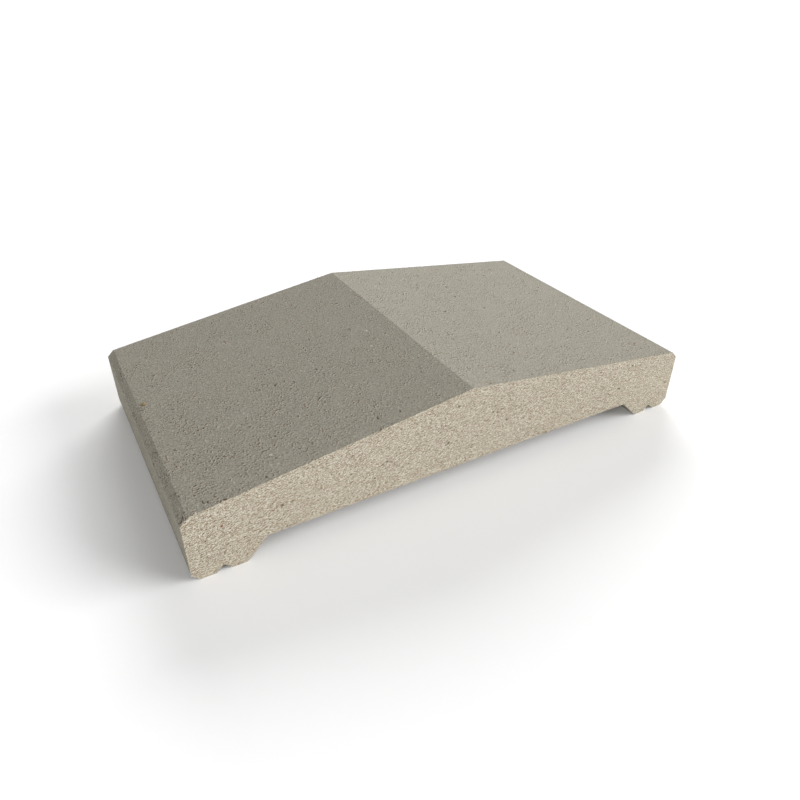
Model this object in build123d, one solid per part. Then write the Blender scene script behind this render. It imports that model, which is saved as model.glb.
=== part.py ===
from build123d import *
import os

# Saddleback coping block of pressed concrete: one solid piece that caps a free-standing wall.
#
# The block is a straight extrusion of one section. Its top falls both ways from a central ridge to throw
# the rain off. Underneath, a shallow bed recess sits over the head of the wall. A pair of feet on each
# side of the recess carries a V-shaped drip groove between them, which stops water running back.
#
# +X goes across the wall, +Y along it, +Z up. The origin is on the plane of the feet, under the middle
# of the ridge. Sizes are in millimetres.

# Overall sizes
BLOCK_WIDTH = 400.0  # across the wall
BLOCK_LENGTH = 225.0  # along the wall, from one joint face to the other
RIDGE_HEIGHT = 76.5  # from the feet to the ridge
EDGE_HEIGHT = 50.0  # from the feet to the lower edge of each slope

# Chamfers along the four outer arrises, the same size sideways and upwards
TOP_CHAMFER = 5.0
BASE_CHAMFER = 5.0

# Underside, from each long side inwards
OUTER_FOOT_WIDTH = 10.0
GROOVE_WIDTH = 10.0
GROOVE_DEPTH = 5.0
INNER_FOOT_WIDTH = 10.0
RECESS_DEPTH = 15.0
RECESS_SPLAY = 15.0  # how far each end of the recess slopes outwards, from its ceiling to the foot

# Places across the section, worked out from the sizes above
SIDE_X = BLOCK_WIDTH / 2
OUTER_FOOT_X = SIDE_X - BASE_CHAMFER
GROOVE_OUTER_X = OUTER_FOOT_X - OUTER_FOOT_WIDTH
GROOVE_ROOT_X = GROOVE_OUTER_X - GROOVE_WIDTH / 2
GROOVE_INNER_X = GROOVE_OUTER_X - GROOVE_WIDTH
RECESS_MOUTH_X = GROOVE_INNER_X - INNER_FOOT_WIDTH
RECESS_CEILING_X = RECESS_MOUTH_X - RECESS_SPLAY


def filled(*points):
    """Flat face inside the closed outline through these (across, up) points."""
    return make_face(Polyline(*points, close=True))


def both_sides(face):
    """The face and its mirror image on the other side of the ridge."""
    return face + mirror(face, about=Plane.YZ)


def weathered_blank():
    """Section before anything is taken out of the underside: two slopes, two sides and a flat base."""
    half = filled(
        (0, 0),
        (OUTER_FOOT_X, 0),
        (SIDE_X, BASE_CHAMFER),
        (SIDE_X, EDGE_HEIGHT - TOP_CHAMFER),
        (SIDE_X - TOP_CHAMFER, EDGE_HEIGHT),
        (0, RIDGE_HEIGHT),
    )
    return both_sides(half)


def bed_recess():
    """Section of the recess over the wall head, wider at its mouth than at its ceiling."""
    half = filled(
        (0, 0),
        (RECESS_MOUTH_X, 0),
        (RECESS_CEILING_X, RECESS_DEPTH),
        (0, RECESS_DEPTH),
    )
    return both_sides(half)


def drip_grooves():
    """Sections of the two V-shaped grooves, each between its outer and inner foot."""
    groove = filled(
        (GROOVE_OUTER_X, 0),
        (GROOVE_ROOT_X, GROOVE_DEPTH),
        (GROOVE_INNER_X, 0),
    )
    return both_sides(groove)


def coping_block():
    """The whole block, with its length centred on the origin."""
    section = weathered_blank() - bed_recess() - drip_grooves()
    return extrude(Plane.XZ * section, amount=BLOCK_LENGTH / 2, both=True)


block = coping_block()
os.makedirs("parts", exist_ok=True)
export_step(block, "parts/coping_block.step")
print(f"coping_block: {block.volume / 1e6:.3f} litres, {len(block.faces())} faces")
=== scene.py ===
"""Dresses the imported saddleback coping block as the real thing: one cast piece of pressed concrete.

The long faces are fine grey concrete from a smooth mould, with air holes and sand grains showing. The
two end faces are sandier and beige, and torn along the layers in which the mould was filled.

Blender works in metres, and so does this file. Sizes are written in millimetres times MM.
"""

import math

import bpy
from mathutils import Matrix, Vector


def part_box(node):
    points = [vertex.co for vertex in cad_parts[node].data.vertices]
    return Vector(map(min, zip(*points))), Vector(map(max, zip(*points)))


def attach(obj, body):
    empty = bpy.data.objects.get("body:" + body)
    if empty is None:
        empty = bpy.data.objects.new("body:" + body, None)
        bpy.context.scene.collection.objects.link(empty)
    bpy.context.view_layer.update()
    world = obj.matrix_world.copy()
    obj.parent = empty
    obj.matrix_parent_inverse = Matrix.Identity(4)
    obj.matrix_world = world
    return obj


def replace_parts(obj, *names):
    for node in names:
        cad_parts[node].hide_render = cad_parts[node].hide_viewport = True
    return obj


bl_info = {
    "name": "Saddleback Coping Block",
    "version": (1, 0, 0),
    "blender": (4, 5, 0),
    "location": "View3D > Sidebar > Coping",
    "description": "Casts, finishes and lights a saddleback coping block of pressed concrete",
    "category": "Object",
}

MM = 0.001
NODE = "coping_block"
BODY = "root"

# The layers of an end face rise towards +X by this angle
LAYER_TILT = math.radians(19)
# Folds steeper than this are worn; the ridge is flatter and stays as pressed
WORN_FOLD = math.radians(25)
# Folds steeper than this look crisp
CRISP_FOLD = math.radians(12)
# A face is an end face if more than this share of its normal runs along the block
END_FACING = 0.75
# Points are scattered this densely, in points a square metre, and then thinned to their spacing
SCATTER_DENSITY = 20000.0
# Seeds of the chance draws for the tint, turn and form of each grain
TINT_SEED, TURN_SEED, FORM_SEED = 5, 8, 9
# Share of the hollow shade colour, a painted shade, in a hole, or in a pit of strength 1
HOLLOW_SHADE_SHARE = 0.65
# Most triangles that one piece may keep
TRIANGLES = 190000
# Width of the photo and the focal length that fits its perspective, both in pixels
PHOTO_WIDTH = 800
PHOTO_FOCAL = 685
# How far the floor runs from the block each way, in metres
FLOOR_REACH = 30

# Large air holes in the slopes, by their places across and along in millimetres, and their radii
SLOPE_HOLES = (
    (-51, -103, 1.2), (-66, -100, 1.1), (-75, -23, 1.2), (-106, -21, 1.0), (-184, -105, 1.2),
    (-181, -107, 1.0), (-145, -108, 1.1),
)
# Large holes in the front end face, by their places across and up in millimetres, and their radii
END_HOLES = (
    (22, 50, 1.3), (30, 62, 1.2), (-11, 65, 1.3), (31, 41, 1.2), (-69, 39, 1.4), (-66, 40, 1.2),
    (-75, 30, 1.1), (-18, 38, 1.1), (140, 33, 1.3), (151, 51, 1.3), (-139, 34, 1.3), (194, 22, 1.2),
)
# Odd grains in the slopes, by their places across and along in millimetres, radii and kinds
SLOPE_GRAINS = (
    (-191, 18, 3.0, "ochre"), (16, -110, 2.0, "ochre"), (176, -89, 1.8, "rust"),
    (-136, -91, 2.4, "quartz"), (-22, 1, 2.0, "quartz"), (-29, -21, 2.2, "quartz"),
)
# Odd grains in the front end face, by their places across and up in millimetres, radii and kinds
END_GRAINS = (
    (70, 16, 1.8, "ochre"), (-177, 35, 1.8, "rust"), (-3, 36, 2.0, "quartz"), (89, 46, 2.2, "quartz"),
)

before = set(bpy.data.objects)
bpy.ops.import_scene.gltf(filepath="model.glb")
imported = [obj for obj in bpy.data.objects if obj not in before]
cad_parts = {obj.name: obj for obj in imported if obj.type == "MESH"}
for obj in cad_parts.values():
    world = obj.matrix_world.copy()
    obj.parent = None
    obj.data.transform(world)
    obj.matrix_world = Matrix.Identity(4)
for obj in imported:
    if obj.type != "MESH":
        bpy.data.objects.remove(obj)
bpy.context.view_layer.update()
LOW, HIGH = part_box(NODE)


def linear(hex_colour):
    """Linear RGB of an sRGB colour written as #rrggbb."""
    parts = [int(hex_colour[i : i + 2], 16) / 255 for i in (1, 3, 5)]
    return [c / 12.92 if c <= 0.04045 else ((c + 0.055) / 1.055) ** 2.4 for c in parts]


def length(name, description, default):
    """A setting that is a length in metres."""
    return bpy.props.FloatProperty(
        name=name, description=description, default=default, min=0, precision=5, unit="LENGTH"
    )


def number(name, description, default):
    """A setting that is a plain number."""
    return bpy.props.FloatProperty(name=name, description=description, default=default)


def angle(name, description, degrees):
    """A setting that is an angle, kept in radians."""
    return bpy.props.FloatProperty(
        name=name, description=description, default=math.radians(degrees), unit="ROTATION"
    )


def colour(name, description, hex_colour):
    """A setting that is a colour."""
    return bpy.props.FloatVectorProperty(
        name=name, description=description, default=linear(hex_colour), size=3, min=0, max=1,
        subtype="COLOR",
    )


class BlockSizes(bpy.types.PropertyGroup):
    """The block's section and length"""

    width: length("Width", "Across the wall", HIGH.x - LOW.x)
    length: length("Length", "Along the wall, between the joint faces", HIGH.y - LOW.y)
    ridge_height: length("Ridge Height", "From the feet to the ridge", HIGH.z - LOW.z)
    edge_height: length("Edge Height", "From the feet to the lower edge of each slope", 50 * MM)
    top_chamfer: length("Top Chamfer", "At the lower edge of each slope", 5 * MM)
    base_chamfer: length("Base Chamfer", "At the foot of each long side", 5 * MM)
    outer_foot: length("Outer Foot", "Flat outside each drip groove", 10 * MM)
    groove_width: length("Groove Width", "Across the mouth of each drip groove", 10 * MM)
    groove_depth: length("Groove Depth", "From the feet to the root of each drip groove", 5 * MM)
    inner_foot: length("Inner Foot", "Flat inside each drip groove", 10 * MM)
    recess_depth: length("Recess Depth", "From the feet to the ceiling over the wall head", 15 * MM)
    recess_splay: length("Recess Splay", "How far each end of the recess slopes outwards", 15 * MM)
    cell: length("Cell", "Step of the mesh before it is thinned; it divides the section", 0.625 * MM)


class BlockRelief(bpy.types.PropertyGroup):
    """Air holes, worn arrises and torn end faces"""

    arris_wear: length("Arris Wear", "Most that a worn arris has lost", 0.25 * MM)
    arris_reach: length("Arris Reach", "How far from an arris the wear goes", 1.2 * MM)
    wear_length: length("Wear Length", "Of one worn stretch of an arris", 4 * MM)
    hole_spacing: length("Hole Spacing", "Least distance between two air holes", 5 * MM)
    hole_radius: length("Hole Radius", "Of the largest air hole", 0.9 * MM)
    hole_raggedness: length("Hole Raggedness", "Widest swing of a hole's rim", 3 * MM)
    tear_length: length("Tear Length", "Of a tear in an end face, along the layers", 6 * MM)
    tear_width: length("Tear Width", "Of a tear in an end face, across the layers", 1.6 * MM)
    tear_depth: length("Tear Depth", "Of the deepest tear in an end face", 0.45 * MM)
    foot_margin: length("Foot Margin", "Height over which the relief fades out to the feet", 1.5 * MM)
    seed: bpy.props.IntProperty(name="Seed", description="Of all that is scattered", default=4)


class SandGrains(bpy.types.PropertyGroup):
    """Sand grains that stand in the faces"""

    grain_spacing: length("Grain Spacing", "Least distance between two grains", 8 * MM)
    grain_radius: length("Grain Radius", "Of the largest grain", 1.2 * MM)
    grain_sunk: number("Grain Sunk", "Depth of a grain's centre as a share of its radius", 0.8)
    foot_gap: length("Foot Gap", "Height above the feet below which no grain stands out", 2 * MM)
    seed: bpy.props.IntProperty(name="Seed", description="Of all that is scattered", default=11)


class BlockColours(bpy.types.PropertyGroup):
    """Colours of the concrete and its sand"""

    grey_dark: colour("Grey Dark", "Of the darkest sand in a long face", "#565144")
    grey_pale: colour("Grey Pale", "Of the palest sand in a long face", "#a6a295")
    sandy_dark: colour("Sandy Dark", "Of the darkest sand in an end face", "#6e5839")
    sandy_pale: colour("Sandy Pale", "Of the palest sand in an end face", "#c4bfb0")
    hollow: colour("Hollow", "Of the floor of a hole or tear", "#5f4224")
    flint: colour("Flint", "Of the darkest large grains", "#6a655b")
    quartz: colour("Quartz", "Of the palest large grains", "#a9a293")
    ochre: colour("Ochre", "Of an iron-stained grain", "#7d6a45")
    rust: colour("Rust", "Of a red-brown grain", "#7f4a38")


class StudioSettings(bpy.types.PropertyGroup):
    """Camera and light"""

    camera_across: length("Camera Left", "From the ridge to the lens, across the wall", 231.5 * MM)
    camera_back: length("Camera Back", "From the block's middle to the lens, along the wall", 423 * MM)
    camera_up: length("Camera Up", "From the feet to the lens", 318.7 * MM)
    camera_turn: angle("Camera Turn", "Clockwise from the wall's line, seen from above", 29.45)
    camera_tilt: angle("Camera Tilt", "Downwards from level", 33.2)
    focal_share: number(
        "Focal Share", "Focal length over the width of the image", PHOTO_FOCAL / PHOTO_WIDTH
    )
    key: number("Key", "Strength of the light from the front right", 4.65)
    rim: number("Rim", "Strength of the light from the back right", 4.95)
    fill: number("Fill", "Strength of the light from the front left", 2.2)
    sky: number("Sky", "Strength of the light from all round", 0.28)


GROUPS = {
    "coping_sizes": BlockSizes,
    "coping_relief": BlockRelief,
    "coping_grains": SandGrains,
    "coping_colours": BlockColours,
    "coping_studio": StudioSettings,
}


def add_node(tree, kind, inputs=None, output=0, **settings):
    """Adds a node with these settings, sets or links its inputs, and returns one of its outputs."""
    node = tree.nodes.new(kind)
    for name, value in settings.items():
        setattr(node, name, value)
    for key, value in (inputs or {}).items():
        if isinstance(value, bpy.types.NodeSocket):
            tree.links.new(value, node.inputs[key])
        else:
            node.inputs[key].default_value = value
    return node.outputs[output] if len(node.outputs) else None


def fields(group):
    """The values that a settings group holds."""
    return [p for p in group.bl_rna.properties if p.identifier not in ("rna_type", "name")]


def start_tree(name, *groups):
    """A geometry tree with one named input for each value of the settings, and those inputs' sockets."""
    tree = bpy.data.node_groups.new(name, "GeometryNodeTree")
    tree.interface.new_socket("Geometry", in_out="INPUT", socket_type="NodeSocketGeometry")
    for group in groups:
        for field in fields(group):
            kind = "NodeSocketInt" if field.type == "INT" else "NodeSocketFloat"
            tree.interface.new_socket(field.name, in_out="INPUT", socket_type=kind)
    tree.interface.new_socket("Geometry", in_out="OUTPUT", socket_type="NodeSocketGeometry")
    return tree, tree.nodes.new("NodeGroupInput").outputs


def baked(host, name):
    """The host's finished shape as a plain mesh."""
    graph = bpy.context.evaluated_depsgraph_get()
    mesh = bpy.data.meshes.new_from_object(
        host.evaluated_get(graph), preserve_all_data_layers=True, depsgraph=graph
    )
    host.modifiers.clear()
    if not mesh.polygons:
        raise RuntimeError(f"{name} came out with no faces")
    if mesh.materials[0] is None:
        # The tree's own meshes start with an empty slot that no face uses
        mesh.materials.pop(index=0)
    mesh.name = name
    return mesh


def run_tree(tree, source, name, *groups, keep=1.0):
    """Runs the tree on a mesh and returns a plain mesh, thinned to the share to keep, with crisp folds."""
    host = bpy.data.objects.new("host", source)
    bpy.context.scene.collection.objects.link(host)
    modifier = host.modifiers.new(tree.name, "NODES")
    modifier.node_group = tree
    values = {field.name: getattr(group, field.identifier) for group in groups for field in fields(group)}
    for item in tree.interface.items_tree:
        if item.in_out == "INPUT" and item.name in values:
            modifier[item.identifier] = values[item.name]
    if keep < 1:
        host.modifiers.new("Thinner", "DECIMATE").ratio = keep
    mesh = baked(host, name)
    if keep < 1:
        # Flat faces are shaded flat right up to their crisp folds
        mesh.set_sharp_from_angle(angle=CRISP_FOLD)
        host.data = mesh
        host.modifiers.new("Flat Faces", "WEIGHTED_NORMAL").keep_sharp = True
        mesh = baked(host, name)
    bpy.data.objects.remove(host)
    return mesh


def add_piece(mesh, name):
    """Shows the mesh as a piece that rides on the block's body."""
    piece = bpy.data.objects.new(name, mesh)
    bpy.context.scene.collection.objects.link(piece)
    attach(piece, BODY)
    return piece


def on_slope(sizes, across, along):
    """A place on the slopes and the way out of the face there, from whole millimetres."""
    run = sizes.width / 2 - sizes.top_chamfer
    fall = (sizes.ridge_height - sizes.edge_height) / run
    place = Vector((across * MM, along * MM, sizes.ridge_height - abs(across) * MM * fall))
    return place, Vector((math.copysign(fall, across), 0, 1)).normalized()


def on_front(sizes, across, up):
    """A place on the front end face and the way out of the face there, from whole millimetres."""
    return Vector((across * MM, -sizes.length / 2, up * MM)), Vector((0, -1, 0))


def points_mesh(places, **values):
    """A mesh of loose points that carry these named values."""
    mesh = bpy.data.meshes.new("points")
    mesh.from_pydata(places, [], [])
    for name, column in values.items():
        if isinstance(column[0], float):
            mesh.attributes.new(name, "FLOAT", "POINT").data.foreach_set("value", column)
        else:
            flat = [part for item in column for part in item]
            mesh.attributes.new(name, "FLOAT_VECTOR", "POINT").data.foreach_set("vector", flat)
    return mesh


def ramps(tree, across, steps):
    """Sum of straight ramps, each given by its start, its end and its height at both."""
    total = 0.0
    for start, end, low, high in steps:
        ramp = add_node(tree, "ShaderNodeMapRange", {0: across, 1: start, 2: end, 3: low, 4: high})
        total = add_node(tree, "ShaderNodeMath", {0: ramp, 1: total})
    return total


def plain_block(tree, given):
    """A cube of small cells, bent to the section's upper and under profile."""
    cells = {}
    for corner, name in (("Vertices X", "Width"), ("Vertices Y", "Length"), ("Vertices Z", "Edge Height")):
        steps = add_node(tree, "ShaderNodeMath", {0: given[name], 1: given["Cell"]}, operation="DIVIDE")
        cells[corner] = add_node(tree, "ShaderNodeMath", {0: steps, 1: 1.0})
    cube = add_node(tree, "GeometryNodeMeshCube", cells)
    place = add_node(tree, "ShaderNodeSeparateXYZ", {0: add_node(tree, "GeometryNodeInputPosition")})
    left, along, up = place.node.outputs
    across = add_node(tree, "ShaderNodeMath", {0: left, 1: given["Width"]}, operation="MULTIPLY")
    run = add_node(tree, "ShaderNodeMath", {0: along, 1: given["Length"]}, operation="MULTIPLY")
    reach = add_node(tree, "ShaderNodeMath", {0: across}, operation="ABSOLUTE")

    # Stops across the half section, from the long side inwards, each a share of a size further in
    side = add_node(tree, "ShaderNodeMath", {0: given["Width"], 1: 0.5}, operation="MULTIPLY")
    stops = [side]
    for name, part in (
        ("Base Chamfer", 1.0), ("Outer Foot", 1.0), ("Groove Width", 0.5), ("Groove Width", 0.5),
        ("Inner Foot", 1.0), ("Recess Splay", 1.0),
    ):
        inwards = {0: given[name], 1: -part, 2: stops[-1]}
        stops.append(add_node(tree, "ShaderNodeMath", inwards, operation="MULTIPLY_ADD"))
    eaves = add_node(tree, "ShaderNodeMath", {0: side, 1: given["Top Chamfer"]}, operation="SUBTRACT")
    lowered = add_node(tree, "ShaderNodeMath", {0: 0.0, 1: given["Top Chamfer"]}, operation="SUBTRACT")
    filled = add_node(tree, "ShaderNodeMath", {0: 0.0, 1: given["Groove Depth"]}, operation="SUBTRACT")
    top = ramps(
        tree, reach,
        [(0.0, eaves, given["Ridge Height"], given["Edge Height"]), (eaves, side, 0.0, lowered)],
    )
    under = ramps(
        tree, reach,
        [
            (stops[1], stops[0], 0.0, given["Base Chamfer"]),
            (stops[3], stops[2], 0.0, filled),
            (stops[4], stops[3], 0.0, given["Groove Depth"]),
            (stops[6], stops[5], given["Recess Depth"], 0.0),
        ],
    )
    height = add_node(tree, "ShaderNodeMapRange", {0: up, 1: -0.5, 2: 0.5, 3: under, 4: top})
    bent = add_node(tree, "ShaderNodeCombineXYZ", {0: across, 1: run, 2: height})
    return add_node(tree, "GeometryNodeSetPosition", {"Geometry": cube, "Position": bent})


def drawn_out(tree, place, mark_length, mark_width):
    """The place counted in marks of this length along the layers of an end face and this width across."""
    turned = add_node(
        tree, "ShaderNodeVectorRotate", {"Vector": place, "Angle": LAYER_TILT}, rotation_type="Y_AXIS"
    )
    stretch = add_node(tree, "ShaderNodeCombineXYZ", {0: mark_length, 1: mark_length, 2: mark_width})
    return add_node(tree, "ShaderNodeVectorMath", {0: turned, 1: stretch}, operation="DIVIDE")


def layers_of(tree, place, tear_length, tear_width, detail):
    """Noise drawn out along the layers of an end face, about 0.5. The two ends differ."""
    drawn = drawn_out(tree, place, tear_length, tear_width)
    return add_node(
        tree, "ShaderNodeTexNoise", {"Vector": drawn, "Scale": 1.0, "Detail": detail, "Roughness": 0.6}
    )


def arris_wear(tree, given, plain, position):
    """Depth lost along the steep arrises, by chance from stretch to stretch, and none beyond the reach."""
    fold = add_node(tree, "GeometryNodeInputMeshEdgeAngle")
    steep = add_node(tree, "FunctionNodeCompare", {0: fold, 1: WORN_FOLD}, operation="GREATER_THAN")
    arrises = add_node(tree, "GeometryNodeSeparateGeometry", {0: plain, 1: steep}, domain="EDGE")
    distance = add_node(tree, "GeometryNodeProximity", {0: arrises}, output=1, target_element="EDGES")
    near = add_node(
        tree, "ShaderNodeMapRange", {0: distance, 1: 0.0, 2: given["Arris Reach"], 3: 1.0, 4: 0.0},
        interpolation_type="SMOOTHSTEP",
    )
    pitch = add_node(tree, "ShaderNodeMath", {0: 1.0, 1: given["Wear Length"]}, operation="DIVIDE")
    chance = add_node(
        tree, "ShaderNodeTexNoise", {"Vector": position, "Scale": pitch, "Detail": 4.0, "Roughness": 0.7}
    )
    # About half of each arris has lost no more than 0.05 mm
    lost = add_node(
        tree, "ShaderNodeMapRange", {0: chance, 1: 0.5, 2: 0.8, 3: 0.05 * MM, 4: given["Arris Wear"]}
    )
    return add_node(tree, "ShaderNodeMath", {0: near, 1: lost}, operation="MULTIPLY")


def hole_centres(tree, given, plain):
    """Points at the air holes, at random and at the chosen places, each with its reach."""
    holes = add_node(
        tree, "GeometryNodeDistributePointsOnFaces",
        {
            "Mesh": plain, "Distance Min": given["Hole Spacing"], "Density Max": SCATTER_DENSITY,
            "Seed": given["Seed"],
        },
        distribute_method="POISSON",
    )
    chance = add_node(
        tree, "FunctionNodeRandomValue", {2: 0.0, 3: 1.0, "Seed": given["Seed"]}, output=1,
        data_type="FLOAT",
    )
    # The high power leaves few holes near the largest size
    share = add_node(tree, "ShaderNodeMath", {0: chance, 1: 3.5}, operation="POWER")
    radius = add_node(tree, "ShaderNodeMath", {0: share, 1: given["Hole Radius"]}, operation="MULTIPLY")
    holes = add_node(
        tree, "GeometryNodeStoreNamedAttribute", {0: holes, "Name": "reach", "Value": radius}
    )
    both = tree.nodes.new("GeometryNodeJoinGeometry")
    for points in (holes, add_node(tree, "GeometryNodeMeshToPoints", {0: given["Geometry"]})):
        tree.links.new(points, both.inputs[0])
    return both.outputs[0]


def air_holes(tree, given, plain, position, on_end):
    """How open the face is, from 0 to 1, and how deep: a ragged bowl at each hole's centre."""
    centres = hole_centres(tree, given, plain)
    # The rim strays in waves 2.2 mm long
    wobble = add_node(
        tree, "ShaderNodeTexNoise", {"Vector": position, "Scale": 1 / (2.2 * MM), "Detail": 2.0}, output=1
    )
    wobble = add_node(tree, "ShaderNodeVectorMath", {0: wobble, 1: (0.5, 0.5, 0.5)}, operation="SUBTRACT")
    wobble = add_node(
        tree, "ShaderNodeVectorMath", {0: wobble, "Scale": given["Hole Raggedness"]}, operation="SCALE"
    )
    strayed = add_node(tree, "ShaderNodeVectorMath", {0: position, 1: wobble})
    nearest = add_node(tree, "GeometryNodeSampleNearest", {0: centres, 1: strayed})
    centre = add_node(
        tree, "GeometryNodeSampleIndex", {0: centres, 1: position, 2: nearest}, data_type="FLOAT_VECTOR"
    )
    reach = add_node(tree, "GeometryNodeInputNamedAttribute", {0: "reach"}, data_type="FLOAT")
    reach = add_node(tree, "GeometryNodeSampleIndex", {0: centres, 1: reach, 2: nearest})
    away = add_node(tree, "ShaderNodeVectorMath", {0: strayed, 1: centre}, operation="SUBTRACT")
    away = add_node(
        tree, "ShaderNodeVectorRotate", {"Vector": away, "Angle": LAYER_TILT}, rotation_type="Y_AXIS"
    )
    # A hole is drawn out across the ends, and along the block elsewhere
    squeeze = add_node(
        tree, "ShaderNodeMix", {0: on_end, 4: (1.4, 0.7, 1.0), 5: (0.7, 1.0, 1.6)}, output=1,
        data_type="VECTOR",
    )
    away = add_node(tree, "ShaderNodeVectorMath", {0: away, 1: squeeze}, operation="MULTIPLY")
    away = add_node(tree, "ShaderNodeVectorMath", {0: away}, output=1, operation="LENGTH")
    ratio = add_node(tree, "ShaderNodeMath", {0: away, 1: reach}, operation="DIVIDE")
    # The floor of a bowl is flat over the middle third of its width
    opened = add_node(
        tree, "ShaderNodeMapRange", {0: ratio, 1: 1.0, 2: 0.35, 3: 0.0, 4: 1.0},
        interpolation_type="SMOOTHSTEP",
    )
    return opened, add_node(tree, "ShaderNodeMath", {0: opened, 1: reach}, operation="MULTIPLY")


def block_tree(sizes, relief, grey, sandy):
    """Casts the block: the section's rule, then worn arrises, air holes and torn end faces."""
    tree, given = start_tree("Cast Block", sizes, relief)
    plain = plain_block(tree, given)
    normal = add_node(tree, "GeometryNodeInputNormal")
    position = add_node(tree, "GeometryNodeInputPosition")
    facing = add_node(tree, "ShaderNodeSeparateXYZ", {0: normal}, output=1)
    endwise = add_node(tree, "ShaderNodeMath", {0: facing}, operation="ABSOLUTE")

    wear = arris_wear(tree, given, plain, position)
    on_end = add_node(tree, "ShaderNodeMapRange", {0: endwise, 1: END_FACING, 2: 0.95, 3: 0.0, 4: 1.0})
    opened, hole = air_holes(tree, given, plain, position, on_end)
    # Only the few places where the noise of the layers runs high are torn
    drawn = layers_of(tree, position, given["Tear Length"], given["Tear Width"], 2.0)
    torn = add_node(
        tree, "ShaderNodeMapRange", {0: drawn, 1: 0.66, 2: 0.79, 3: 0.0, 4: on_end},
        interpolation_type="SMOOTHSTEP",
    )
    tear = add_node(tree, "ShaderNodeMath", {0: torn, 1: given["Tear Depth"]}, operation="MULTIPLY")

    depth = wear
    for part in (hole, tear):
        depth = add_node(tree, "ShaderNodeMath", {0: depth, 1: part})
    # The feet stay whole, so the block stands on them as it does in the frame
    up = add_node(tree, "ShaderNodeSeparateXYZ", {0: position}, output=2)
    inwards = add_node(tree, "ShaderNodeMath", {0: 0.0, 1: depth}, operation="SUBTRACT")
    inwards = add_node(
        tree, "ShaderNodeMapRange", {0: up, 1: 0.0, 2: given["Foot Margin"], 3: 0.0, 4: inwards}
    )
    shift = add_node(tree, "ShaderNodeVectorMath", {0: normal, "Scale": inwards}, operation="SCALE")

    # Holes and tears are marked here for the painted shade that the materials mix in
    dark = add_node(tree, "ShaderNodeMath", {0: opened, 1: torn}, operation="MAXIMUM")
    block = add_node(tree, "GeometryNodeStoreNamedAttribute", {0: plain, "Name": "hollow", "Value": dark})
    is_end = add_node(tree, "FunctionNodeCompare", {0: endwise, 1: END_FACING}, operation="GREATER_THAN")
    block = add_node(
        tree, "GeometryNodeStoreNamedAttribute", {0: block, "Name": "struck", "Value": is_end},
        data_type="BOOLEAN", domain="FACE",
    )
    block = add_node(tree, "GeometryNodeSetPosition", {"Geometry": block, "Offset": shift})
    block = add_node(tree, "GeometryNodeSetShadeSmooth", {0: block})
    block = add_node(tree, "GeometryNodeRealizeInstances", {0: block})
    block = add_node(tree, "GeometryNodeSetMaterial", {"Geometry": block, "Material": grey})
    struck = add_node(tree, "GeometryNodeInputNamedAttribute", {0: "struck"}, data_type="BOOLEAN")
    block = add_node(
        tree, "GeometryNodeSetMaterial", {"Geometry": block, "Selection": struck, "Material": sandy}
    )
    add_node(tree, "NodeGroupOutput", {0: block})
    return tree


def bed_grains(tree, points, material, rounding):
    """A lumpy, turned grain on each point, as large as its reach: 20 faces at rounding 1, and 80 at 2."""
    position = add_node(tree, "GeometryNodeInputPosition")
    stone = add_node(tree, "GeometryNodeMeshIcoSphere", {"Radius": 1.0, "Subdivisions": rounding})
    lumps = add_node(tree, "ShaderNodeTexNoise", {"Vector": position, "Scale": 1.1, "Detail": 1.0}, output=1)
    lumps = add_node(tree, "ShaderNodeVectorMath", {0: lumps, 1: (0.5, 0.5, 0.5)}, operation="SUBTRACT")
    lumps = add_node(tree, "ShaderNodeVectorMath", {0: lumps, "Scale": 0.6}, operation="SCALE")
    stone = add_node(tree, "GeometryNodeSetPosition", {"Geometry": stone, "Offset": lumps})
    stone = add_node(tree, "GeometryNodeSetShadeSmooth", {0: stone})
    turn = add_node(
        tree, "FunctionNodeRandomValue", {0: (0, 0, 0), 1: (math.tau,) * 3, "Seed": TURN_SEED},
        data_type="FLOAT_VECTOR",
    )
    spread = add_node(
        tree, "FunctionNodeRandomValue", {0: (0.9,) * 3, 1: (1.2,) * 3, "Seed": FORM_SEED},
        data_type="FLOAT_VECTOR",
    )
    reach = add_node(tree, "GeometryNodeInputNamedAttribute", {0: "reach"}, data_type="FLOAT")
    scale = add_node(tree, "ShaderNodeVectorMath", {0: spread, "Scale": reach}, operation="SCALE")
    bedded = add_node(
        tree, "GeometryNodeInstanceOnPoints",
        {"Points": points, "Instance": stone, "Rotation": turn, "Scale": scale},
    )
    bedded = add_node(tree, "GeometryNodeRealizeInstances", {0: bedded})
    bedded = add_node(tree, "GeometryNodeSetMaterial", {"Geometry": bedded, "Material": material})
    add_node(tree, "NodeGroupOutput", {0: bedded})


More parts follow.
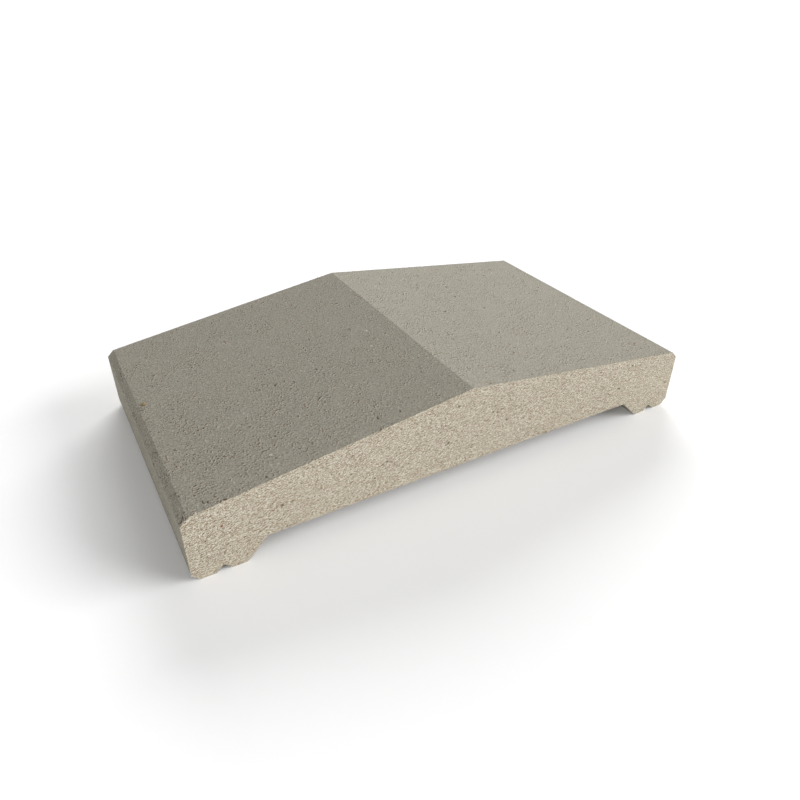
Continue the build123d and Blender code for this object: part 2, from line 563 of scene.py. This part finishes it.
def scattered_tree(grains, colours, material):
    """Beds sand grains at random in the faces of its host."""
    tree, given = start_tree("Scattered Grains", grains)
    position = add_node(tree, "GeometryNodeInputPosition")
    up = add_node(tree, "ShaderNodeSeparateXYZ", {0: position}, output=2)
    clear = add_node(tree, "FunctionNodeCompare", {0: up, 1: given["Foot Gap"]}, operation="GREATER_THAN")
    points = add_node(
        tree, "GeometryNodeDistributePointsOnFaces",
        {
            "Mesh": given["Geometry"], "Selection": clear, "Distance Min": given["Grain Spacing"],
            "Density Max": SCATTER_DENSITY, "Seed": given["Seed"],
        },
        distribute_method="POISSON",
    )
    outwards = points.node.outputs["Normal"]
    chance = add_node(
        tree, "FunctionNodeRandomValue", {2: 0.4, 3: 1.0, "Seed": given["Seed"]}, output=1,
        data_type="FLOAT",
    )
    radius = add_node(tree, "ShaderNodeMath", {0: chance, 1: given["Grain Radius"]}, operation="MULTIPLY")
    tone = add_node(
        tree, "FunctionNodeRandomValue", {2: 0.0, 3: 1.0, "Seed": TINT_SEED}, output=1, data_type="FLOAT"
    )
    tint = add_node(
        tree, "ShaderNodeMix", {0: tone, 6: (*colours.flint, 1), 7: (*colours.quartz, 1)}, output=2,
        data_type="RGBA",
    )
    points = add_node(
        tree, "GeometryNodeStoreNamedAttribute", {0: points, "Name": "reach", "Value": radius}
    )
    points = add_node(
        tree, "GeometryNodeStoreNamedAttribute", {0: points, "Name": "tint", "Value": tint},
        data_type="FLOAT_VECTOR",
    )
    sunk = add_node(tree, "ShaderNodeMath", {0: radius, 1: given["Grain Sunk"]}, operation="MULTIPLY")
    sunk = add_node(tree, "ShaderNodeMath", {0: sunk, 1: -1.0}, operation="MULTIPLY")
    shift = add_node(tree, "ShaderNodeVectorMath", {0: outwards, "Scale": sunk}, operation="SCALE")
    points = add_node(tree, "GeometryNodeSetPosition", {"Geometry": points, "Offset": shift})
    bed_grains(tree, points, material, 1)
    return tree


def chosen_tree(material):
    """Beds a grain at each point of its host."""
    tree, given = start_tree("Chosen Grains")
    bed_grains(tree, add_node(tree, "GeometryNodeMeshToPoints", {0: given["Geometry"]}), material, 2)
    return tree


def start_material(name):
    """An empty node material: the material, its tree and the place on the piece in millimetres."""
    material = bpy.data.materials.new(name)
    material.use_nodes = True
    tree = material.node_tree
    tree.nodes.clear()
    place = add_node(tree, "ShaderNodeTexCoord", output="Object")
    place = add_node(tree, "ShaderNodeVectorMath", {0: place, "Scale": 1 / MM}, operation="SCALE")
    return material, tree, place


def end_material(tree, base, height, roughness):
    """A dry mineral surface with this colour, this height of relief in millimetres and this roughness."""
    height = add_node(tree, "ShaderNodeMath", {0: height, 1: MM}, operation="MULTIPLY")
    bump = add_node(tree, "ShaderNodeBump", {"Strength": 1.0, "Distance": 1.0, "Height": height})
    # Open pores swallow half of what a polished stone of the same index mirrors
    surface = add_node(
        tree, "ShaderNodeBsdfPrincipled",
        {"Base Color": base, "Roughness": roughness, "IOR": 1.5, "Specular IOR Level": 0.25, "Normal": bump},
    )
    add_node(tree, "ShaderNodeOutputMaterial", {"Surface": surface})


def add_clouds(tree, place, total, layers):
    """Adds noises about zero, each given by its size in millimetres, its detail and its strength."""
    for size, detail, strength in layers:
        cloud = add_node(
            tree, "ShaderNodeTexNoise",
            {"Vector": place, "Scale": 1 / size, "Detail": detail, "Roughness": 0.6},
        )
        cloud = add_node(tree, "ShaderNodeMath", {0: cloud, 1: 0.5}, operation="SUBTRACT")
        total = add_node(tree, "ShaderNodeMath", {0: cloud, 1: strength, 2: total}, operation="MULTIPLY_ADD")
    return total


def add_sand(tree, place, total, size, strength):
    """Adds a chance tone about zero for each sand grain of this size in millimetres."""
    grain = add_node(tree, "ShaderNodeTexVoronoi", {"Vector": place, "Scale": 1 / size}, output=1)
    tone = add_node(tree, "ShaderNodeSeparateXYZ", {0: grain})
    tone = add_node(tree, "ShaderNodeMath", {0: tone, 1: 0.5}, operation="SUBTRACT")
    return add_node(tree, "ShaderNodeMath", {0: tone, 1: strength, 2: total}, operation="MULTIPLY_ADD")


def add_marks(tree, place, total, size, start, full, strength):
    """Adds sparse marks of this size in millimetres, where a noise runs from start to full."""
    mark = add_node(tree, "ShaderNodeTexNoise", {"Vector": place, "Scale": 1 / size, "Detail": 1.0})
    mark = add_node(tree, "ShaderNodeMapRange", {0: mark, 1: start, 2: full, 3: 0.0, 4: strength})
    return add_node(tree, "ShaderNodeMath", {0: mark, 1: total})


def patchy(tree, place, total, size, least, most):
    """Gives the total more or less strength from patch to patch, each this many millimetres across."""
    patch = add_node(tree, "ShaderNodeTexNoise", {"Vector": place, "Scale": 1 / size, "Detail": 2.0})
    patch = add_node(tree, "ShaderNodeMapRange", {0: patch, 1: 0.35, 2: 0.65, 3: least, 4: most})
    return add_node(tree, "ShaderNodeMath", {0: total, 1: patch}, operation="MULTIPLY")


def pitted(tree, place, highlight_shift, least, most):
    """Small pits, 0 where there are none, and painted highlights, pale lips that lie this far beside them.
    """
    beside = add_node(tree, "ShaderNodeVectorMath", {0: place, 1: highlight_shift}, operation="SUBTRACT")
    both = []
    for where in (place, beside):
        # Pits of 1.3 mm and a few of 2 mm, stronger and weaker in patches 14 mm wide
        marks = add_marks(tree, where, 0.0, 1.3, 0.59, 0.71, 0.9)
        marks = add_marks(tree, where, marks, 2.0, 0.67, 0.75, 1.0)
        both.append(patchy(tree, place, marks, 14, least, most))
    return both


def tinted(tree, factor, dark, pale, pits, hollow):
    """From dark to pale by the factor, and towards the brown hollow shade where the face is pitted or open:
    painted shade.
    """
    base = add_node(
        tree, "ShaderNodeMix", {0: factor, 6: (*dark, 1), 7: (*pale, 1)}, output=2, data_type="RGBA"
    )
    # Painted shade: holes, tears and pits take the hollow shade colour
    opened = add_node(tree, "ShaderNodeAttribute", output="Fac", attribute_name="hollow")
    opened = add_node(tree, "ShaderNodeMath", {0: opened, 1: pits}, operation="MAXIMUM")
    opened = add_node(tree, "ShaderNodeMath", {0: opened, 1: HOLLOW_SHADE_SHARE}, operation="MULTIPLY")
    return add_node(
        tree, "ShaderNodeMix", {0: opened, 6: base, 7: (*hollow, 1)}, output=2, data_type="RGBA"
    )


def grey_concrete(colours):
    """Pressed concrete from a smooth steel mould: matt and even, its fine sand just under the skin."""
    material, tree, place = start_material("grey_pressed_concrete")
    # The contrast of the tone and the strength of the pits grow towards the left and, a little, the back:
    # from 0.86 to 1.26 times
    across = add_node(
        tree, "ShaderNodeVectorMath", {0: place, 1: (-1.0, 0.25, 0.0)}, output=1, operation="DOT_PRODUCT"
    )
    leftward_contrast = add_node(tree, "ShaderNodeMapRange", {0: across, 1: -30.0, 2: 220.0, 3: 0.86, 4: 1.26})
    # Each pit has a painted highlight, a pale lip 0.9 mm beside it
    pits, highlights = pitted(tree, place, (0.5, -0.8, 0.0), 0.2, 1.7)
    pits = add_node(tree, "ShaderNodeMath", {0: pits, 1: leftward_contrast}, operation="MULTIPLY")
    sand = add_node(tree, "ShaderNodeMath", {0: highlights, 1: 0.4}, operation="MULTIPLY")
    # Pale grains of 1.4 mm show here and there. Fines of 0.2 mm wouldn't, so they are drawn 0.5 mm wide
    sand = add_marks(tree, place, sand, 1.4, 0.64, 0.74, 0.45)
    sand = add_sand(tree, place, sand, 0.5, 0.38)
    # Damp and dry parts of the mix are 45 and 9 mm wide, and films of cement 1.1 mm
    tone = add_clouds(tree, place, sand, [(45, 3, 0.05), (9, 2, 0.04), (1.1, 1, 0.32)])
    tone = add_node(tree, "ShaderNodeMath", {0: tone, 1: leftward_contrast, 2: 0.5}, operation="MULTIPLY_ADD")
    base = tinted(tree, tone, colours.grey_dark, colours.grey_pale, pits, colours.hollow)
    # The skin is rough by 0.2 mm, and a pit is about 0.5 mm deep
    height = add_clouds(tree, place, 0.0, [(1.2, 1, 0.2), (0.6, 1, 0.18)])
    height = add_node(tree, "ShaderNodeMath", {0: pits, 1: -0.5, 2: height}, operation="MULTIPLY_ADD")
    end_material(tree, base, height, 0.92)
    return material


def sandy_concrete(colours):
    """Concrete struck off at the mould's ends: beige and coarse, in torn layers."""
    material, tree, place = start_material("sandy_struck_concrete")
    # Pits are a quarter longer than in the long faces and two thirds as wide, with painted highlights as
    # lips 0.6 mm below
    pits, highlights = pitted(tree, drawn_out(tree, place, 1.25, 0.65), (0.1, 0.0, -0.9), 0.8, 1.6)
    # A tear is 2.2 mm long and 0.5 mm wide, dented and darkened by painted shade, with a painted highlight
    # 0.5 mm below it
    above = add_node(tree, "ShaderNodeVectorMath", {0: place, 1: (0, 0, 0.5)})
    strokes = layers_of(tree, place, 2.2, 0.5, 0.5)
    strokes_above = layers_of(tree, above, 2.2, 0.5, 0.5)
    tear = add_node(tree, "ShaderNodeMapRange", {0: strokes, 1: 0.59, 2: 0.73, 3: 0.0, 4: -1.35})
    tear_highlight = add_node(tree, "ShaderNodeMapRange", {0: strokes_above, 1: 0.59, 2: 0.74, 3: 0.0, 4: 0.7})
    torn = add_node(tree, "ShaderNodeMath", {0: tear, 1: tear_highlight})
    torn = patchy(tree, place, torn, 12, 0.65, 1.15)
    # The sand and fines are the same as in the long faces, but barer
    # The tone carries the painted highlights beside the pits and the painted shade and highlights of the
    # tears
    sand = add_node(tree, "ShaderNodeMath", {0: highlights, 1: 0.4, 2: torn}, operation="MULTIPLY_ADD")
    sand = add_marks(tree, place, sand, 1.4, 0.64, 0.74, 0.4)
    sand = add_sand(tree, place, sand, 0.5, 0.92)
    # Films of cement are drawn out along the layers too, 1.4 mm long and 0.45 mm wide
    films = layers_of(tree, place, 1.4, 0.45, 1.0)
    tone = add_node(tree, "ShaderNodeMath", {0: films, 1: 0.24, 2: sand}, operation="MULTIPLY_ADD")
    tone = add_clouds(tree, place, tone, [(40, 3, 0.03), (8, 2, 0.02)])
    # This settles how pale the face is as a whole
    tone = add_node(tree, "ShaderNodeMath", {0: tone, 1: 0.46})
    base = tinted(tree, tone, colours.sandy_dark, colours.sandy_pale, pits, colours.hollow)
    # The face is rough by 0.15 mm, and its pits and tears are 0.2 to 0.4 mm deep
    height = add_clouds(tree, place, 0.0, [(1.2, 1, 0.15), (0.6, 1, 0.15)])
    height = add_node(tree, "ShaderNodeMath", {0: tear, 1: 0.3, 2: height}, operation="MULTIPLY_ADD")
    height = add_node(tree, "ShaderNodeMath", {0: pits, 1: -0.2, 2: height}, operation="MULTIPLY_ADD")
    end_material(tree, base, height, 0.95)
    return material


def grain_material():
    """Washed river sand: flint and quartz, each grain of its own tint, duller than polished stone."""
    material, tree, place = start_material("river_sand")
    # Flaws 0.7 mm wide mottle each grain
    tint = add_node(tree, "ShaderNodeAttribute", output="Vector", attribute_name="tint")
    bright = add_clouds(tree, place, 1.0, [(0.7, 2, 0.5)])
    base = add_node(tree, "ShaderNodeVectorMath", {0: tint, "Scale": bright}, operation="SCALE")
    height = add_clouds(tree, place, 0.0, [(0.7, 2, 0.08)])
    end_material(tree, base, height, 0.7)
    return material


def floor_paint():
    """White emulsion rolled on a studio floor: matt, and all but even."""
    material, tree, place = start_material("white_floor_paint")
    # Faint clouds 400 mm wide keep it from looking empty, over roller stipple 8 mm wide
    bright = add_clouds(tree, place, 1.0, [(400, 2, 0.02)])
    white = Vector(linear("#f6f6f6"))
    base = add_node(tree, "ShaderNodeVectorMath", {0: white, "Scale": bright}, operation="SCALE")
    end_material(tree, base, add_clouds(tree, place, 0.0, [(8, 2, 0.02)]), 0.9)
    return material


def lay_floor(scene):
    """A floor that runs past the top of the picture, which looks just below the horizon."""
    mesh = bpy.data.meshes.new("floor")
    corners = [(FLOOR_REACH * x, FLOOR_REACH * y, 0) for x, y in ((-1, -1), (1, -1), (1, 1), (-1, 1))]
    mesh.from_pydata(corners, [], [(0, 1, 2, 3)])
    mesh.materials.append(floor_paint())
    floor = bpy.data.objects.new("floor", mesh)
    scene.collection.objects.link(floor)


def hang_lights(scene, studio):
    """Three soft lamps, by their places round and above the block and their breadths, in degrees."""
    for name, azimuth, elevation, breadth, strength in (
        ("key", 60, 15, 50, studio.key),
        ("rim", 150, 15, 50, studio.rim),
        ("fill", -60, 8, 60, studio.fill),
    ):
        lamp = bpy.data.lights.new(name, "SUN")
        lamp.energy = strength
        lamp.angle = math.radians(breadth)
        light = bpy.data.objects.new(name, lamp)
        light.rotation_euler = (math.radians(90 - elevation), 0, math.radians(azimuth))
        scene.collection.objects.link(light)


def light_walls(scene, studio):
    """White walls all round, which give less light than they seem to."""
    world = bpy.data.worlds.new("studio_walls")
    scene.world = world
    world.use_nodes = True
    tree = world.node_tree
    tree.nodes.clear()
    seen = add_node(tree, "ShaderNodeLightPath", output="Is Camera Ray")
    strength = add_node(tree, "ShaderNodeMapRange", {0: seen, 3: studio.sky, 4: 1.0})
    walls = add_node(tree, "ShaderNodeBackground", {"Color": (1, 1, 1, 1), "Strength": strength})
    add_node(tree, "ShaderNodeOutputWorld", {"Surface": walls})


def aim_camera(scene, studio):
    """The camera, to the left of the ridge, in front of the block and above it."""
    lens = bpy.data.cameras.new("camera")
    lens.sensor_width = 36
    lens.lens = studio.focal_share * lens.sensor_width
    lens.clip_start = 10 * MM
    camera = bpy.data.objects.new("camera", lens)
    camera.location = (-studio.camera_across, -studio.camera_back, studio.camera_up)
    camera.rotation_euler = (math.radians(90) - studio.camera_tilt, 0, -studio.camera_turn)
    scene.collection.objects.link(camera)
    scene.camera = camera


class CastBlock(bpy.types.Operator):
    """Cast the block, with worn arrises, air holes and torn end faces"""

    bl_idname = "coping.cast_block"
    bl_label = "Cast Block"

    def execute(self, context):
        scene = context.scene
        sizes = scene.coping_sizes
        relief = scene.coping_relief
        colours = scene.coping_colours
        places = [on_slope(sizes, x, y)[0] for x, y, _ in SLOPE_HOLES]
        places += [on_front(sizes, x, z)[0] for x, z, _ in END_HOLES]
        radii = [radius * MM for _, _, radius in SLOPE_HOLES + END_HOLES]
        tree = block_tree(sizes, relief, grey_concrete(colours), sandy_concrete(colours))
        # Two triangles for each cell of the mesh, on three pairs of sides
        across, along, up = (round(v / sizes.cell) for v in (sizes.width, sizes.length, sizes.edge_height))
        triangles = 4 * (across * along + across * up + along * up)
        mesh = run_tree(
            tree, points_mesh(places, reach=radii), "cast_block", sizes, relief, keep=TRIANGLES / triangles
        )
        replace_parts(add_piece(mesh, "cast_block"), NODE)
        return {"FINISHED"}


class BedGrains(bpy.types.Operator):
    """Bed sand grains in the block's faces, at random and at chosen places"""

    bl_idname = "coping.bed_grains"
    bl_label = "Bed Sand Grains"

    def execute(self, context):
        scene = context.scene
        sizes = scene.coping_sizes
        grains = scene.coping_grains
        colours = scene.coping_colours
        material = grain_material()
        faces = scene.objects["cast_block"].data.copy()
        tree = scattered_tree(grains, colours, material)
        add_piece(run_tree(tree, faces, "sand_grains", grains), "sand_grains")

        chosen = [(*on_slope(sizes, x, y), radius, kind) for x, y, radius, kind in SLOPE_GRAINS]
        chosen += [(*on_front(sizes, x, z), radius, kind) for x, z, radius, kind in END_GRAINS]
        points = points_mesh(
            [place - outwards * grains.grain_sunk * radius * MM for place, outwards, radius, _ in chosen],
            reach=[radius * MM for _, _, radius, _ in chosen],
            tint=[tuple(getattr(colours, kind)) for _, _, _, kind in chosen],
        )
        add_piece(run_tree(chosen_tree(material), points, "odd_grains"), "odd_grains")
        return {"FINISHED"}


class SetStudio(bpy.types.Operator):
    """Lay the pale floor, hang the lights and set up the camera"""

    bl_idname = "coping.set_studio"
    bl_label = "Set Studio"

    def execute(self, context):
        scene = context.scene
        studio = scene.coping_studio
        scene.view_settings.view_transform = "Standard"
        lay_floor(scene)
        hang_lights(scene, studio)
        light_walls(scene, studio)
        aim_camera(scene, studio)
        return {"FINISHED"}


class CopingPanel(bpy.types.Panel):
    """Steps that build the coping block, and their settings"""

    bl_idname = "VIEW3D_PT_coping"
    bl_label = "Saddleback Coping Block"
    bl_space_type = "VIEW_3D"
    bl_region_type = "UI"
    bl_category = "Coping"

    def draw(self, context):
        for operator in OPERATORS:
            self.layout.operator(operator.bl_idname)
        for name in GROUPS:
            group = getattr(context.scene, name)
            box = self.layout.box()
            for field in fields(group):
                box.prop(group, field.identifier)


OPERATORS = (CastBlock, BedGrains, SetStudio)
CLASSES = (*GROUPS.values(), *OPERATORS, CopingPanel)


def register():
    for cls in CLASSES:
        bpy.utils.register_class(cls)
    for name, group in GROUPS.items():
        setattr(bpy.types.Scene, name, bpy.props.PointerProperty(type=group))


def unregister():
    for name in GROUPS:
        delattr(bpy.types.Scene, name)
    for cls in reversed(CLASSES):
        bpy.utils.unregister_class(cls)


def main():
    """Builds the block and its studio."""
    register()
    bpy.ops.coping.cast_block()
    bpy.ops.coping.bed_grains()
    bpy.ops.coping.set_studio()


if __name__ == "__main__":
    main()
